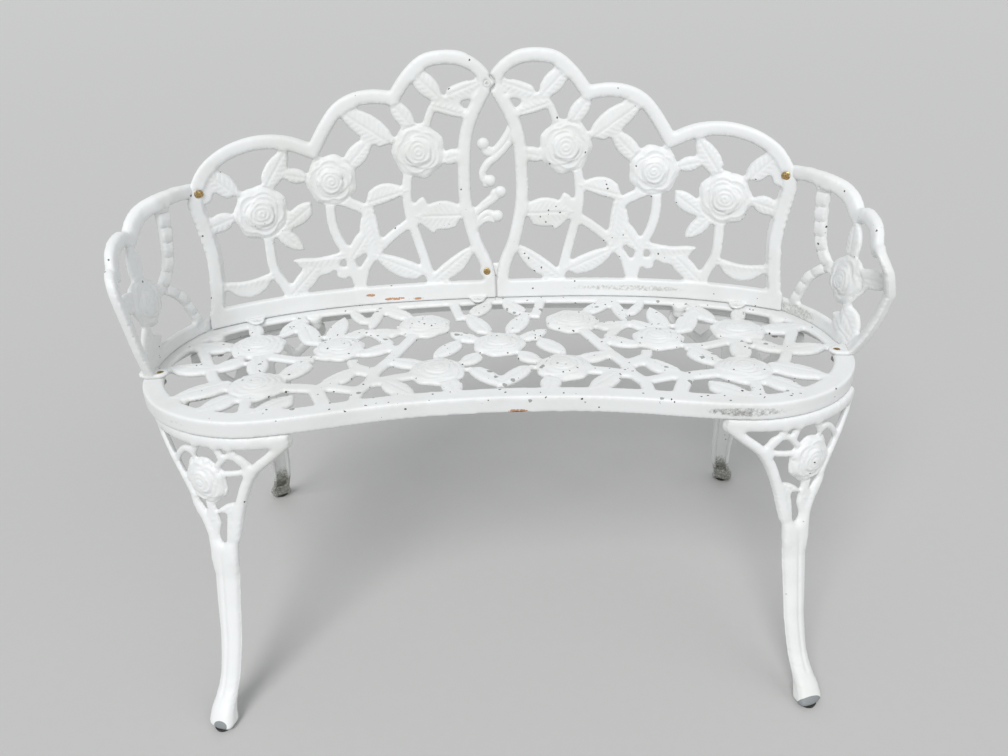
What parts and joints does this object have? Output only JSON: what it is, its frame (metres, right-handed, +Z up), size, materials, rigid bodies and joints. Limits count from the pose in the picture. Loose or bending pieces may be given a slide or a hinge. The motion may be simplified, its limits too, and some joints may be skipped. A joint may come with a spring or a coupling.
{
  "type": "garden bench",
  "caption": "Two-seat cast metal garden bench with an open rose and leaf pattern, a scalloped two-part back, curved arms and four splayed legs, painted white.",
  "frame": {"origin": "middle of the bench's outline on the ground", "axes": "+Z up, -Y the front where a sitter's legs are, +X to the right as seen from the front"},
  "size_m": [1.0514, 0.5769, 0.8058],
  "materials": {
    "casting": "worn white paint",
    "glide": "matte black",
    "painted_steel": "white paint over steel",
    "brass": "dull yellow zinc",
    "zinc": "dull zinc"
  },
  "bodies": {
    "root": {"seat": "casting", "back_panel_left": "casting", "back_panel_right": "casting", "arm_left": "casting", "arm_right": "casting", "leg_front_left": "casting", "leg_front_right": "casting", "leg_rear_left": "casting", "leg_rear_right": "casting", "glide_front_left": "glide", "glide_front_right": "glide", "glide_rear_left": "glide", "glide_rear_right": "glide", "top_joint_screw": "painted_steel", "top_joint_nut": "zinc", "bottom_joint_screw": "brass", "bottom_joint_nut": "zinc", "arm_back_screws": "brass", "arm_back_nuts": "zinc", "tab_screws": "painted_steel", "tab_nuts": "zinc", "arm_seat_screws": "brass", "arm_seat_nuts": "zinc", "leg_screws": "zinc"}
  },
  "joints": []
}
